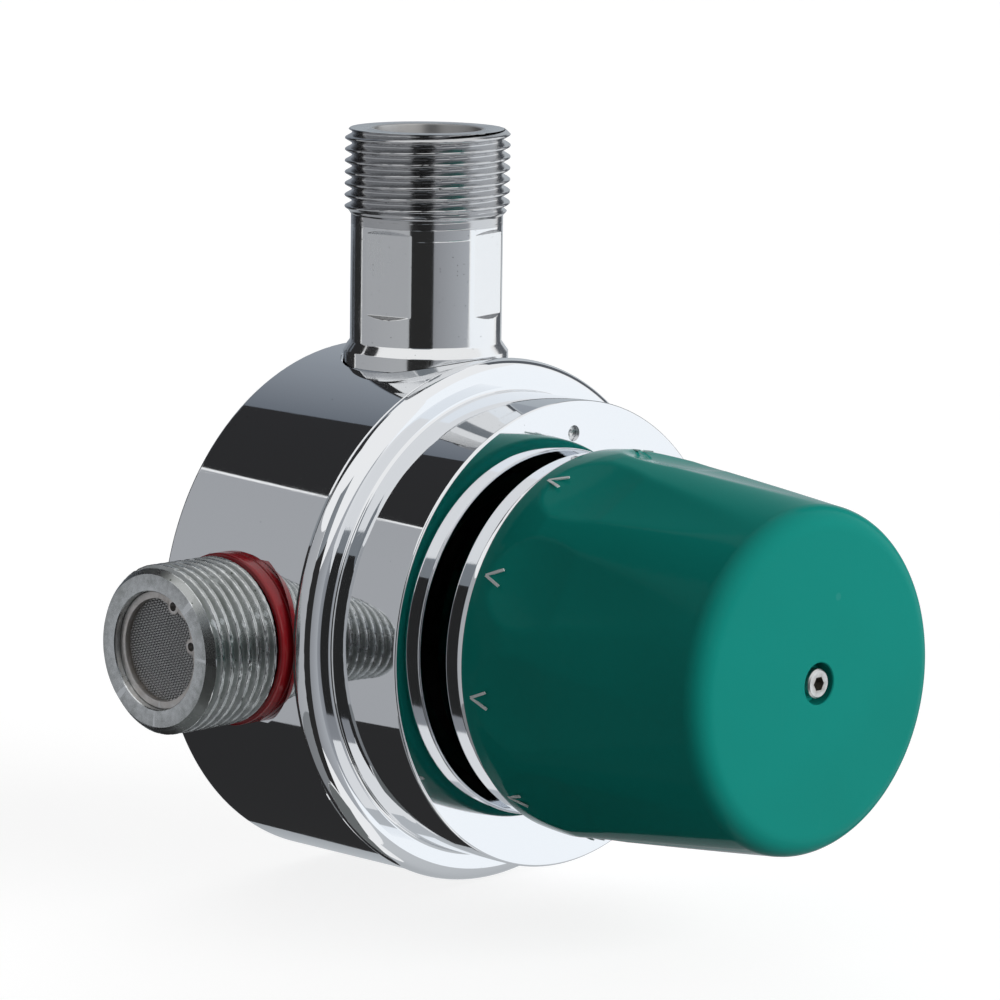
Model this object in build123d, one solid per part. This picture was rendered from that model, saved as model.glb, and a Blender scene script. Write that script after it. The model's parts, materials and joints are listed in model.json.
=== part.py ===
from build123d import *
import math
import os

os.makedirs("parts", exist_ok=True)

# Millimetres. Origin: centre of the drum's flat back face. +Y points out of the back,
# +Z points up the outlet, hot water enters from -X and cold water from +X.

# Drum and ports, read from the photograph
DRUM_R = 41.5
DRUM_DEPTH = 30.9
DRUM_EDGE = 0.8
DRUM_LIP = 0.4
PORT_Y = -16.5
SPOT_FACE = DRUM_R - 2.0
SPOT_GAP = 0.3
SOCKET_DEEP = SPOT_FACE - 15.0
THREAD_R = 13.15

# Bonnet, read from the photograph
CREST_R = DRUM_R + 0.3
FLANGE_ROUND = 3.0
FLANGE_DEPTH = 3.6
NECK_R = DRUM_R - 4.6
PLATE_DEPTH = 48.3
PLATE_EDGE = 0.4
PLATE_WALL = 3.6
NECK_WALL = 3.8
INDEX_X = 1.4
INDEX_Z = NECK_R - 5.2
INDEX_R = 1.25
INDEX_RECESS = 0.8

# Knob, read from the photograph
RING_REAR = 50.3
RING_R = 29.05
RING_ROUND = 0.6
RING_SWELL = 0.3
KNOB_REAR = 55.3
KNOB_FRONT = 101.4
KNOB_BASE_R = 30.2
KNOB_SKIRT = 64.0
KNOB_SKIRT_R = 30.55
KNOB_SIDE_R = 26.8
KNOB_FACE_R = 23.05
KNOB_WALL = 2.8
FLUTES = 10
FLUTE_PHASE = 27.0
FLUTE_R = 19.0
FLUTE_DEPTH = 0.76
FLUTE_START = 72.5
FLUTE_END = 95.0
HEAD_POCKET_R = 3.2
SCREW_HEAD_R = 2.25
SCREW_HEAD = 2.5
SCREW_R = 1.25
SCREW_LENGTH = 16.0
HEX_AF = 2.0

# Outlet pipe, read from the photograph
OUTLET_TOP = SPOT_FACE + 37.6
OUTLET_TUBE_R = 12.1
OUTLET_BORE_R = 8.43
OUTLET_THREAD_LOW = OUTLET_TOP - 14.1
OUTLET_COLLAR_R = 13.2
OUTLET_COLLAR_TOP = SPOT_FACE + 2.4
FLAT_ACROSS = 22.8
FLAT_LOW = SPOT_FACE + 8.7
FLAT_HIGH = SPOT_FACE + 21.5
FLAT_TURN = -76.5

# Inlet pipes, read from the photograph
INLET_END = SPOT_FACE + 18.0
INLET_FACE_R = 11.85
INLET_BORE_R = 9.16
MARKER_R = 13.9
MARKER_DEPTH = 3.0
STRAINER_RECESS = 2.4
EAR_R = 1.25
EAR_HOLE_R = 0.7
STRAINER_EARS = ((7.1, -13.5), (5.8, -77.5))

# Cartridge, sized to fit inside
FIT = 0.05
FLOOR = 3.5
CART_R = 17.0
BONNET_SPIGOT_R = 21.0
BONNET_SPIGOT = 4.2
SPIGOT_R = 11.0
PORT_SLOT = 14.0
SLEEVE_REAR = 8.2
SLEEVE_FRONT = 40.4
SHUTTLE_R = 11.3
SHUTTLE_BORE_R = 9.4
SHUTTLE_REAR = 13.4
SHUTTLE_LENGTH = 8.0
SEAT_GAP = 0.8
SEAT_BORE_R = 8.8
SEAT_DEPTH = 2.2
HOT_Y = -13.7
COLD_Y = -21.2
GROOVE_WIDTH = 4.0
SPINDLE_R = 5.0
SPINDLE_END = 90.0
SPINDLE_RINGS = (9.0, 4.0)
HUB_R = 9.0
HUB_END = 60.0
BOSS_R = 22.0
BOSS_END = 53.0
STOP_LOW = 14.5
STOP_DEPTH = 5.4
DRIVE_AF = 7.0
NUT_R = 10.4
KEY_WIDTH = 3.0
PISTON_R = 1.5

made = []


def keep(name, shape):
    export_step(shape, f"parts/{name}.step")
    made.append(name)
    return shape


def turned(outline, axis=Axis.Y):
    """Revolve (radius, along) points. Four numbers make an arc: its end, then a point on it."""
    def at(radius, along):
        return (radius, along, 0) if axis == Axis.Y else (radius, 0, along)
    edges = []
    last = outline[-1]
    for point in outline:
        start = at(*last[:2])
        end = at(*point[:2])
        if len(point) == 4:
            edges.append(ThreePointArc(start, at(*point[2:]), end))
        else:
            edges.append(Line(start, end))
        last = point
    return revolve(make_face(edges), axis)


def tube(outer, inner, low, high, axis=Axis.Y):
    return turned([(inner, low), (outer, low), (outer, high), (inner, high)], axis)


def rod(radius, low, high, axis=Axis.Y):
    return turned([(0, low), (radius, low), (radius, high), (0, high)], axis)


def o_ring(inner, outer, middle, axis=Axis.Y):
    wire = (outer - inner) / 2
    centre = (inner + wire, middle)
    where = Plane.XY if axis == Axis.Y else Plane.XZ
    return revolve(where * Pos(*centre) * Circle(wire), axis)


def coil(radius, wire, low, high, turns, axis=Axis.Z):
    """A round-wire spring whose ends stop just short of low and high."""
    length = high - low - wire
    path = Helix(pitch=length / turns, height=length, radius=radius)
    start = Plane(origin=path @ 0, z_dir=path % 0)
    spring = sweep(start * Circle(wire / 2 - 0.01), path=path, is_frenet=True)
    spring = Pos(0, 0, low + wire / 2) * spring
    return Rot(90, 0, 0) * spring if axis == Axis.Y else spring


def ports(shape_of):
    """Place a piece made along +Z on the hot side and on the cold side."""
    for side, turn in (("hot", -90), ("cold", 90)):
        yield side, Pos(0, PORT_Y, 0) * Rot(0, turn, 0) * shape_of


def around_y(shape, angle):
    return Rot(0, -angle, 0) * shape


def port_hollow(pipe_r):
    """What a port takes out of the drum: spot face, spigot socket and waterway, along +Z."""
    hollow = rod(pipe_r + SPOT_GAP, SPOT_FACE, DRUM_R + 5, Axis.Z)
    hollow += rod(SPIGOT_R, SOCKET_DEEP + 3, SPOT_FACE + 1, Axis.Z)
    return hollow + rod(OUTLET_BORE_R, SOCKET_DEEP, SPOT_FACE, Axis.Z)


def build_drum():
    front = -DRUM_DEPTH
    edge = DRUM_EDGE
    drum = turned([
        (0, 0),
        (DRUM_R - edge, 0),
        (DRUM_R, -edge, DRUM_R - edge * 0.29, -edge * 0.29),
        (DRUM_R, front + DRUM_LIP),
        (DRUM_R - DRUM_LIP, front),
        (0, front)])
    drum -= rod(CART_R, front, -FLOOR)
    drum -= rod(BONNET_SPIGOT_R + FIT, front, front + BONNET_SPIGOT + 0.2)
    for middle in (HOT_Y, COLD_Y):
        low = middle - GROOVE_WIDTH / 2
        drum -= tube(CART_R + 2.2, CART_R - 1, low, low + GROOVE_WIDTH)
    drum -= Pos(0, PORT_Y, 0) * port_hollow(OUTLET_COLLAR_R)
    slot = extrude(SlotOverall(PORT_SLOT, GROOVE_WIDTH - 0.4), SOCKET_DEEP - CART_R + 3)
    slot = Pos(0, 0, CART_R - 1) * slot
    for side, placed in ports(port_hollow(MARKER_R)):
        drum -= placed
        middle = HOT_Y if side == "hot" else COLD_Y
        turn = -90 if side == "hot" else 90
        drum -= Pos(0, middle, 0) * Rot(0, turn, 0) * slot
    rear = SLEEVE_REAR + 1.0 - FLOOR
    riser = extrude(SlotOverall(PORT_SLOT, rear), SOCKET_DEEP + 3 - CART_R + 6)
    drum -= Pos(0, -FLOOR - rear / 2, CART_R - 5) * riser
    return drum


def build_bonnet():
    rear = -DRUM_DEPTH
    face = -PLATE_DEPTH
    crest = rear - 0.6
    foot = rear - FLANGE_DEPTH
    quarter = FLANGE_ROUND * 0.29
    hollow_front = face + PLATE_WALL
    inner = NECK_R - NECK_WALL
    bonnet = turned([
        (CART_R + FIT, rear + BONNET_SPIGOT),
        (BONNET_SPIGOT_R - 0.4, rear + BONNET_SPIGOT),
        (BONNET_SPIGOT_R, rear + BONNET_SPIGOT - 0.4),
        (BONNET_SPIGOT_R, rear),
        (CREST_R - 0.5, rear),
        (CREST_R, crest, CREST_R - 0.15, rear - 0.17),
        (CREST_R - FLANGE_ROUND, foot, CREST_R - quarter, foot + quarter),
        (CREST_R - FLANGE_ROUND - 0.6, foot),
        (CREST_R - FLANGE_ROUND - 0.7, foot - 0.25),
        (NECK_R, foot - 1.45, NECK_R + 0.35, foot - 0.6),
        (NECK_R, face + PLATE_EDGE),
        (NECK_R - PLATE_EDGE, face),
        (BOSS_R, face),
        (BOSS_R, -BOSS_END + 0.5),
        (BOSS_R - 0.5, -BOSS_END),
        (HUB_R, -BOSS_END),
        (HUB_R, -HUB_END + 0.4),
        (HUB_R - 0.4, -HUB_END),
        (SPINDLE_R + FIT, -HUB_END),
        (SPINDLE_R + FIT, -SLEEVE_FRONT - 4.0),
        (8.0, -SLEEVE_FRONT - 4.0),
        (8.0, -SLEEVE_FRONT - 0.1),
        (CART_R + FIT, -SLEEVE_FRONT - 0.1)])
    bonnet -= turned([
        (BONNET_SPIGOT_R, rear + 0.01),
        (inner, rear + 0.01),
        (inner, hollow_front + 2),
        (inner - 2, hollow_front),
        (BONNET_SPIGOT_R + 2, hollow_front),
        (BONNET_SPIGOT_R, hollow_front + 2)])
    pin = rod(INDEX_R + 0.01, face - 1, face + PLATE_WALL - 0.6)
    bonnet -= Pos(INDEX_X, 0, INDEX_Z) * pin
    groove = rear + 1.0
    bonnet -= tube(BONNET_SPIGOT_R + 1, BONNET_SPIGOT_R - 1.5, groove, groove + 2.0)
    return bonnet


def build_index_pin():
    face = -PLATE_DEPTH
    pin = turned([
        (0, face + PLATE_WALL - 0.7),
        (INDEX_R, face + PLATE_WALL - 0.7),
        (INDEX_R, face + INDEX_RECESS + 0.1),
        (INDEX_R - 0.1, face + INDEX_RECESS),
        (0.55, face + INDEX_RECESS),
        (0, face + INDEX_RECESS + 0.3)])
    return Pos(INDEX_X, 0, INDEX_Z) * pin


def build_outlet():
    low = SPOT_FACE
    pipe = turned([
        (OUTLET_BORE_R, SOCKET_DEEP + 3.2),
        (SPIGOT_R - FIT - 0.8, SOCKET_DEEP + 3.2),
        (SPIGOT_R - FIT, SOCKET_DEEP + 4.0),
        (SPIGOT_R - FIT, low),
        (OUTLET_COLLAR_R, low),
        (OUTLET_COLLAR_R, OUTLET_COLLAR_TOP),
        (OUTLET_TUBE_R, OUTLET_COLLAR_TOP + 1.5),
        (OUTLET_TUBE_R, OUTLET_THREAD_LOW - 1.05),
        (THREAD_R, OUTLET_THREAD_LOW),
        (THREAD_R, OUTLET_TOP - 0.8),
        (THREAD_R - 0.8, OUTLET_TOP),
        (OUTLET_BORE_R + 0.3, OUTLET_TOP),
        (OUTLET_BORE_R, OUTLET_TOP - 0.3)], Axis.Z)
    middle = (FLAT_LOW + FLAT_HIGH) / 2
    block = Box(10, 14, FLAT_HIGH - FLAT_LOW)
    for quarter in range(4):
        flat = Pos(FLAT_ACROSS / 2 + 5, 0, middle) * block
        pipe -= Rot(0, 0, FLAT_TURN + 90 * quarter) * flat
    pipe -= tube(SPIGOT_R, SPIGOT_R - 1.6, low - 2.6, low - 0.6, Axis.Z)
    return Pos(0, PORT_Y, 0) * pipe


def inlet_shape():
    low = SPOT_FACE
    chamfer = THREAD_R - INLET_FACE_R
    neck_end = low + MARKER_DEPTH
    step = low - 4.0
    shape = turned([
        (OUTLET_BORE_R - 0.8, SOCKET_DEEP + 3.2),
        (SPIGOT_R - FIT - 0.8, SOCKET_DEEP + 3.2),
        (SPIGOT_R - FIT, SOCKET_DEEP + 4.0),
        (SPIGOT_R - FIT, low),
        (SPIGOT_R + 0.5, low),
        (SPIGOT_R + 0.5, neck_end),
        (THREAD_R, neck_end),
        (THREAD_R, INLET_END - chamfer),
        (INLET_FACE_R, INLET_END),
        (INLET_BORE_R, INLET_END),
        (INLET_BORE_R, step),
        (OUTLET_BORE_R - 0.8, step)], Axis.Z)
    shape -= tube(SPIGOT_R, SPIGOT_R - 1.6, low - 2.6, low - 0.6, Axis.Z)
    return shape


def marker_shape():
    low = SPOT_FACE
    high = low + MARKER_DEPTH - 0.02
    edge = 0.5
    return turned([
        (SPIGOT_R + 0.52, low),
        (MARKER_R - 0.2, low),
        (MARKER_R, low + edge),
        (MARKER_R, high - edge),
        (MARKER_R - edge, high, MARKER_R - edge * 0.29, high - edge * 0.29),
        (SPIGOT_R + 0.52, high)], Axis.Z)


def strainer_shape():
    top = INLET_END - STRAINER_RECESS
    outer = INLET_BORE_R - 0.02
    strainer = tube(outer, outer - 1.2, top - 2.0, top, Axis.Z)
    strainer += rod(outer - 1.0, top - 1.4, top - 1.1, Axis.Z)
    for reach, turn in STRAINER_EARS:
        ear = extrude(SlotCenterToCenter(outer - reach, 2 * EAR_R), 0.8)
        ear = Pos((outer + reach) / 2, 0, top - 0.8) * ear
        ear -= Pos(reach, 0, top) * Cylinder(EAR_HOLE_R, 2.0)
        strainer += Rot(0, 0, turn) * ear
    return strainer & rod(outer, top - 2.0, top, Axis.Z)


CHECK_TOP = INLET_END - STRAINER_RECESS - 2.2
CHECK_LOW = SPOT_FACE - 3.9
SEAT_LOW = CHECK_TOP - 2.4
LIFT = 3.0


def check_body_shape():
    outer = INLET_BORE_R - 0.02
    bore = outer - 1.5
    body = turned([
        (5.4, CHECK_TOP),
        (outer, CHECK_TOP),
        (outer, CHECK_LOW),
        (bore, CHECK_LOW),
        (bore, SEAT_LOW - 0.6),
        (6.2, SEAT_LOW),
        (5.4, SEAT_LOW)], Axis.Z)
    groove = CHECK_TOP - 2.0
    body -= tube(outer + 1, outer - 1.0, groove, groove + 1.6, Axis.Z)
    guide_top = CHECK_LOW + 4.6
    arm = Box(2 * bore + 0.6, 1.8, 2.2)
    arm = Pos(0, 0, guide_top - 1.1) * arm
    spider = rod(3.2, guide_top - 2.2, guide_top, Axis.Z) + arm + Rot(0, 0, 90) * arm
    spider &= rod(outer - 0.7, CHECK_LOW, CHECK_TOP, Axis.Z)
    return body + spider - rod(1.45, CHECK_LOW - 1, guide_top + 1, Axis.Z)


def poppet_shape():
    top = SEAT_LOW - 0.05
    low = CHECK_LOW + 1.2
    return turned([
        (0, low),
        (1.2, low),
        (1.4, low + 0.2),
        (1.4, top - 3.2),
        (3.2, top - 3.0),
        (3.2, top - 1.6),
        (6.5, top - 1.6),
        (6.5, top - 0.8),
        (5.0, top),
        (0, top + 0.6)], Axis.Z)


def check_spring_shape():
    return coil(4.4, 0.6, CHECK_LOW + 4.6, SEAT_LOW - 1.65, 4)


def build_sleeve():
    rear = -SLEEVE_REAR
    front = -SLEEVE_FRONT
    outer = CART_R - FIT
    bore = SHUTTLE_R + FIT
    sleeve = turned([
        (bore, rear),
        (outer - 0.6, rear),
        (outer, rear - 0.6),
        (outer, front),
        (bore, front)])
    for middle in (rear - 1.7, (HOT_Y + COLD_Y) / 2, COLD_Y - GROOVE_WIDTH / 2 - 2.0):
        sleeve -= tube(CART_R + 1, CART_R - 1.8, middle - 1.0, middle + 1.0)
    for middle in (HOT_Y, COLD_Y):
        for turn in range(6):
            window = Pos(0, middle, CART_R - 3) * Box(9, GROOVE_WIDTH - 0.6, 10)
            sleeve -= Rot(0, 60 * turn, 0) * window
    key_rear = SHUTTLE_REAR + SHUTTLE_LENGTH + SEAT_GAP + SEAT_DEPTH + 0.2
    key = Box(KEY_WIDTH + 0.2, SLEEVE_FRONT - key_rear, 2 * (SHUTTLE_R + 1.6))
    sleeve -= Pos(0, -(SLEEVE_FRONT + key_rear) / 2, 0) * key
    return sleeve


def build_shuttle():
    rear = -SHUTTLE_REAR
    front = rear - SHUTTLE_LENGTH
    web_rear = rear - 2.8
    web_front = web_rear - 2.0
    shuttle = turned([
        (SHUTTLE_BORE_R, rear),
        (SHUTTLE_R - 0.4, rear),
        (SHUTTLE_R, rear - 0.4),
        (SHUTTLE_R, front + 0.4),
        (SHUTTLE_R - 0.4, front),
        (SHUTTLE_BORE_R, front),
        (SHUTTLE_BORE_R, web_front),
        (3.95, web_front),
        (3.95, web_rear),
        (SHUTTLE_BORE_R, web_rear)])
    middle = (web_rear + web_front) / 2
    shuttle -= tube(SHUTTLE_R + 1, SHUTTLE_R - 1.3, middle - 0.8, middle + 0.8)
    for turn in range(8):
        hole = Rot(90, 0, 0) * Cylinder(1.1, 6)
        shuttle -= Rot(0, 45 * turn, 0) * Pos(0, middle, 7.8) * hole
    return shuttle


WEB_REAR = -SHUTTLE_REAR - 2.8
CUP_FACE = -SHUTTLE_REAR - SHUTTLE_LENGTH - SEAT_GAP - SEAT_DEPTH - 2.8
NUT_REAR = CUP_FACE + 1.2
NUT_FRONT = NUT_REAR - 11.0


def build_wax_element():
    element = turned([
        (0, WEB_REAR + 9.4),
        (4.0, WEB_REAR + 9.4),
        (4.6, WEB_REAR + 8.8),
        (4.6, WEB_REAR + 1.6),
        (6.3, WEB_REAR + 1.6),
        (6.3, WEB_REAR),
        (3.9, WEB_REAR),
        (3.9, WEB_REAR - 4.0),
        (3.2, WEB_REAR - 4.8),
        (0, WEB_REAR - 4.8)])
    return element - rod(PISTON_R + FIT, WEB_REAR - 6, WEB_REAR + 1.0)


def build_nut():
    nut = turned([
        (7.4, NUT_REAR),
        (NUT_R - 0.4, NUT_REAR),
        (NUT_R, NUT_REAR - 0.4),
        (NUT_R, NUT_FRONT + 0.4),
        (NUT_R - 0.4, NUT_FRONT),
        (SPINDLE_R - 0.3, NUT_FRONT),
        (SPINDLE_R - 0.3, NUT_REAR - 7.4),
        (7.4, NUT_REAR - 7.4)])
    key = Box(KEY_WIDTH, NUT_REAR - NUT_FRONT - 1.0, 2 * (SHUTTLE_R + 1.2))
    key = Pos(0, (NUT_REAR + NUT_FRONT) / 2, 0) * key
    nut += key - rod(NUT_R - 1.2, NUT_FRONT - 1, NUT_REAR + 1)
    nut -= tube(8.0, 7.0, NUT_REAR - 1.1, NUT_REAR - 0.3)
    return nut


def build_overload_cup():
    return turned([
        (0, CUP_FACE),
        (6.6, CUP_FACE),
        (6.6, CUP_FACE - 0.8),
        (3.4, CUP_FACE - 0.8),
        (3.4, CUP_FACE - 2.4),
        (0, CUP_FACE - 2.4)])


def build_clip():
    outer = 7.95
    clip = tube(outer, 6.0, NUT_REAR - 1.08, NUT_REAR - 0.32)
    gap = Pos(0, NUT_REAR - 0.7, -7) * Box(3.0, 3, 4)
    return clip - gap


def build_spindle():
    thread_end = NUT_REAR - 7.8
    collar_rear = -SLEEVE_FRONT - 0.7
    collar_front = collar_rear - 2.8
    spindle = turned([
        (0, thread_end),
        (SPINDLE_R - 0.9, thread_end),
        (SPINDLE_R - 0.4, thread_end - 0.5),
        (SPINDLE_R - 0.4, NUT_FRONT - 0.8),
        (SPINDLE_R, NUT_FRONT - 1.2),
        (SPINDLE_R, collar_rear),
        (7.5, collar_rear),
        (7.5, collar_front),
        (SPINDLE_R, collar_front),
        (SPINDLE_R, -SPINDLE_END + 0.6),
        (SPINDLE_R - 0.6, -SPINDLE_END),
        (0, -SPINDLE_END)])
    for back in SPINDLE_RINGS:
        middle = back - HUB_END
        spindle -= tube(SPINDLE_R + 1, SPINDLE_R - 1.2, middle - 0.8, middle + 0.8)
    spindle -= tube(SPINDLE_R + 1, SPINDLE_R - 0.6, -HUB_END - 1.0, -HUB_END - 0.2)
    square_low = -HUB_END - 2.0
    length = SPINDLE_END + square_low
    squared = Box(4 * SPINDLE_R, length, 4 * SPINDLE_R) - Box(DRIVE_AF, length + 2, DRIVE_AF)
    spindle -= Pos(0, square_low - length / 2, 0) * squared
    tip = -(KNOB_FRONT - 0.1 - SCREW_HEAD) + SCREW_LENGTH
    return spindle - rod(SCREW_R, -SPINDLE_END - 1, tip + 1.5)


def build_spindle_clip():
    clip = tube(7.4, SPINDLE_R - 0.58, -HUB_END - 0.95, -HUB_END - 0.25)
    gap = Pos(0, -HUB_END - 0.6, -6) * Box(4.0, 3, 6)
    return clip - gap


def build_knob():
    rear = -KNOB_REAR
    front = -KNOB_FRONT
    corner = KNOB_SIDE_R - KNOB_FACE_R
    knob = turned([
        (0, front),
        (KNOB_FACE_R, front),
        (KNOB_SIDE_R, front + corner, KNOB_SIDE_R - corner * 0.27, front + corner * 0.27),
        (KNOB_SKIRT_R, -KNOB_SKIRT),
        (KNOB_BASE_R, rear - 1.2, KNOB_SKIRT_R - 0.05, (rear - 1.2 - KNOB_SKIRT) / 2),
        (KNOB_BASE_R - 0.7, rear, KNOB_BASE_R - 0.12, rear - 0.35),
        (0, rear)])
    taper = (KNOB_SKIRT_R - KNOB_SIDE_R) / (KNOB_FRONT - corner - KNOB_SKIRT)
    start_r = KNOB_SKIRT_R - taper * (FLUTE_START - KNOB_SKIRT) - FLUTE_DEPTH
    end_r = KNOB_SKIRT_R - taper * (FLUTE_END - KNOB_SKIRT)
    tilt = math.degrees(math.atan2(start_r - end_r, FLUTE_END - FLUTE_START))
    reach = KNOB_FRONT - FLUTE_START + 20
    cutter = Sphere(FLUTE_R) + Pos(0, 0, -reach / 2) * Cylinder(FLUTE_R, reach)
    for number in range(FLUTES):
        flute = Pos(0, -FLUTE_START, start_r + FLUTE_R) * Rot(tilt - 90, 0, 0) * cutter
        knob -= around_y(flute, FLUTE_PHASE + 360 / FLUTES * number)
    inner = KNOB_BASE_R - KNOB_WALL
    inner_front = KNOB_SIDE_R - KNOB_WALL
    hollow_end = front + 3.2
    knob -= turned([
        (7.2, rear + 1),
        (inner, rear + 1),
        (inner, rear - 3.4),
        (inner - 0.8, rear - 3.5),
        (inner_front - 0.6, hollow_end + 3),
        (inner_front - 3.6, hollow_end),
        (7.2, hollow_end)])
    knob -= rod(7.3, -HUB_END - 5.0, rear + 1)
    socket = DRIVE_AF + 0.04
    depth = SPINDLE_END - HUB_END
    knob -= Pos(0, -SPINDLE_END + depth / 2 - 0.1, 0) * Box(socket, depth, socket)
    knob -= rod(SCREW_R + 0.15, front - 1, -SPINDLE_END)
    knob -= rod(HEAD_POCKET_R, front - 1, front + 0.1 + SCREW_HEAD)
    stop = Box(3.0, STOP_DEPTH + 0.6, inner - STOP_LOW)
    return knob + Pos(0, rear - 7.5, (inner + STOP_LOW) / 2 - 0.3) * stop


def build_stop_ring():
    low = -BOSS_END - STOP_DEPTH
    ring = tube(HUB_R + 2.8, HUB_R + 0.02, low, -BOSS_END)
    lug = tube(STOP_LOW + 5.5, HUB_R + 2.0, low, -BOSS_END - 0.6)
    wedge = extrude(Plane.XZ * Polygon((0, 0), (8.0, -24), (-8.0, -24), align=None), 80, both=True)
    return ring + (lug & wedge)


def build_trim_ring():
    rear = -RING_REAR
    front = -KNOB_REAR
    edge = RING_ROUND
    seat = KNOB_BASE_R - KNOB_WALL - 0.02
    return turned([
        (seat - 2.4, rear),
        (RING_R - edge, rear),
        (RING_R, rear - edge, RING_R - edge * 0.29, rear - edge * 0.29),
        (RING_R - edge, front, RING_R + RING_SWELL, (rear + front) / 2),
        (seat, front),
        (seat, front - 3.0),
        (seat - 2.4, front - 3.0)])


def build_knob_screw():
    front = -(KNOB_FRONT - 0.1)
    seat = front + SCREW_HEAD
    screw = turned([
        (0, front),
        (SCREW_HEAD_R - 0.25, front),
        (SCREW_HEAD_R, front + 0.25),
        (SCREW_HEAD_R, seat),
        (SCREW_R, seat),
        (SCREW_R, seat + SCREW_LENGTH - 0.4),
        (SCREW_R - 0.4, seat + SCREW_LENGTH),
        (0, seat + SCREW_LENGTH)])
    socket = extrude(Plane.XZ * RegularPolygon(HEX_AF / 2, 6, major_radius=False), 1.3, both=True)
    return screw - Pos(0, front, 0) * socket


keep("drum_body", build_drum())
keep("bonnet", build_bonnet())
keep("index_pin", build_index_pin())
keep("bonnet_o_ring", o_ring(BONNET_SPIGOT_R - 1.48, BONNET_SPIGOT_R + FIT - 0.01, 2.0 - DRUM_DEPTH))

keep("outlet_pipe", build_outlet())
pipe_seal = o_ring(SPIGOT_R - 1.58, SPIGOT_R - 0.02, SPOT_FACE - 1.6, Axis.Z)
keep("outlet_o_ring", Pos(0, PORT_Y, 0) * pipe_seal)

check_seal = o_ring(INLET_BORE_R - 1.0, INLET_BORE_R - 0.01, CHECK_TOP - 1.2, Axis.Z)
for piece, shape in (
        ("inlet_pipe", inlet_shape()),
        ("inlet_o_ring", pipe_seal),
        ("marker_ring", marker_shape()),
        ("strainer", strainer_shape()),
        ("check_body", check_body_shape()),
        ("check_o_ring", check_seal),
        ("check_poppet", poppet_shape()),
        ("check_spring", check_spring_shape())):
    for side, placed in ports(shape):
        keep(f"{side}_{piece}", placed)

keep("cartridge_sleeve", build_sleeve())
for name, middle in (
        ("rear_sleeve_o_ring", -SLEEVE_REAR - 1.7),
        ("middle_sleeve_o_ring", (HOT_Y + COLD_Y) / 2),
        ("front_sleeve_o_ring", COLD_Y - GROOVE_WIDTH / 2 - 2.0)):
    keep(name, o_ring(CART_R - 1.78, CART_R - 0.02, middle))
seat = SHUTTLE_R + FIT - 0.01
hot_face = -SHUTTLE_REAR + SEAT_GAP
cold_face = -SHUTTLE_REAR - SHUTTLE_LENGTH - SEAT_GAP
keep("hot_seat", tube(seat, SEAT_BORE_R, hot_face, hot_face + SEAT_DEPTH))
keep("cold_seat", tube(seat, SEAT_BORE_R, cold_face - SEAT_DEPTH, cold_face))
keep("thrust_washer", tube(7.9, SPINDLE_R + 0.3, -SLEEVE_FRONT - 4.0, -SLEEVE_FRONT - 3.55))
keep("stop_ring", build_stop_ring())

keep("shuttle", build_shuttle())
keep("shuttle_o_ring", o_ring(SHUTTLE_R - 1.28, SHUTTLE_R + FIT - 0.02, WEB_REAR - 1.0))
keep("wax_element", build_wax_element())
keep("return_spring", coil(5.7, 0.8, FLOOR, -WEB_REAR - 1.65, 5, Axis.Y))

keep("regulating_nut", build_nut())
keep("overload_cup", build_overload_cup())
keep("overload_spring", coil(5.0, 1.0, -CUP_FACE + 0.85, -NUT_REAR + 7.4, 3, Axis.Y))
keep("overload_clip", build_clip())
keep("wax_piston", rod(PISTON_R, CUP_FACE, WEB_REAR))

keep("spindle", build_spindle())
for name, back in zip(("rear_spindle_o_ring", "front_spindle_o_ring"), SPINDLE_RINGS):
    keep(name, o_ring(SPINDLE_R - 1.18, SPINDLE_R + FIT - 0.01, back - HUB_END))
keep("spindle_clip", build_spindle_clip())
keep("knob", build_knob())
keep("knob_trim_ring", build_trim_ring())
keep("knob_screw", build_knob_screw())

print(len(made), "pieces")
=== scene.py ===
import json
import math

import bpy
import numpy as np
from mathutils import Matrix, Vector


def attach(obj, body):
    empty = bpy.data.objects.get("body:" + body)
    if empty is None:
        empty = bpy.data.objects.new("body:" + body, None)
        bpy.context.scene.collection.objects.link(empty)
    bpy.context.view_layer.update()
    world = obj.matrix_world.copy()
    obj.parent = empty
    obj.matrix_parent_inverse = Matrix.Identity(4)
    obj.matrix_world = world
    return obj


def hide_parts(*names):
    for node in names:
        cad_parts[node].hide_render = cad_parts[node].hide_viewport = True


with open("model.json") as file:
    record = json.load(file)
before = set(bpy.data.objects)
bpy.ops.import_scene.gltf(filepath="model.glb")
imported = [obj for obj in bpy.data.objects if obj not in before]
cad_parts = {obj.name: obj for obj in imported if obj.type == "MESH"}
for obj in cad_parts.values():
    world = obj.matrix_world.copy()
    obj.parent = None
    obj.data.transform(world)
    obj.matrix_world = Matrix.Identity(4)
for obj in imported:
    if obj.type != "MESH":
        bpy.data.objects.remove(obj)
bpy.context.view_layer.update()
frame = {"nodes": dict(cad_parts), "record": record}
nodes = frame["nodes"]
mm = 0.001
portY = -16.5  # the ports' axes, in millimetres, as in the part's source
print("frame loaded")


# Meshes

def placeAlong(axis):
    # a piece made along +Z, turned to run out of one of the ports
    turns = {"up": Matrix.Identity(4),
             "hot": Matrix.Rotation(math.radians(-90), 4, "Y"),
             "cold": Matrix.Rotation(math.radians(90), 4, "Y"),
             "front": Matrix.Rotation(math.radians(90), 4, "X")}
    shift = Vector((0, 0, 0)) if axis == "front" else Vector((0, portY, 0))
    return Matrix.Translation(shift) @ turns[axis]


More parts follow.
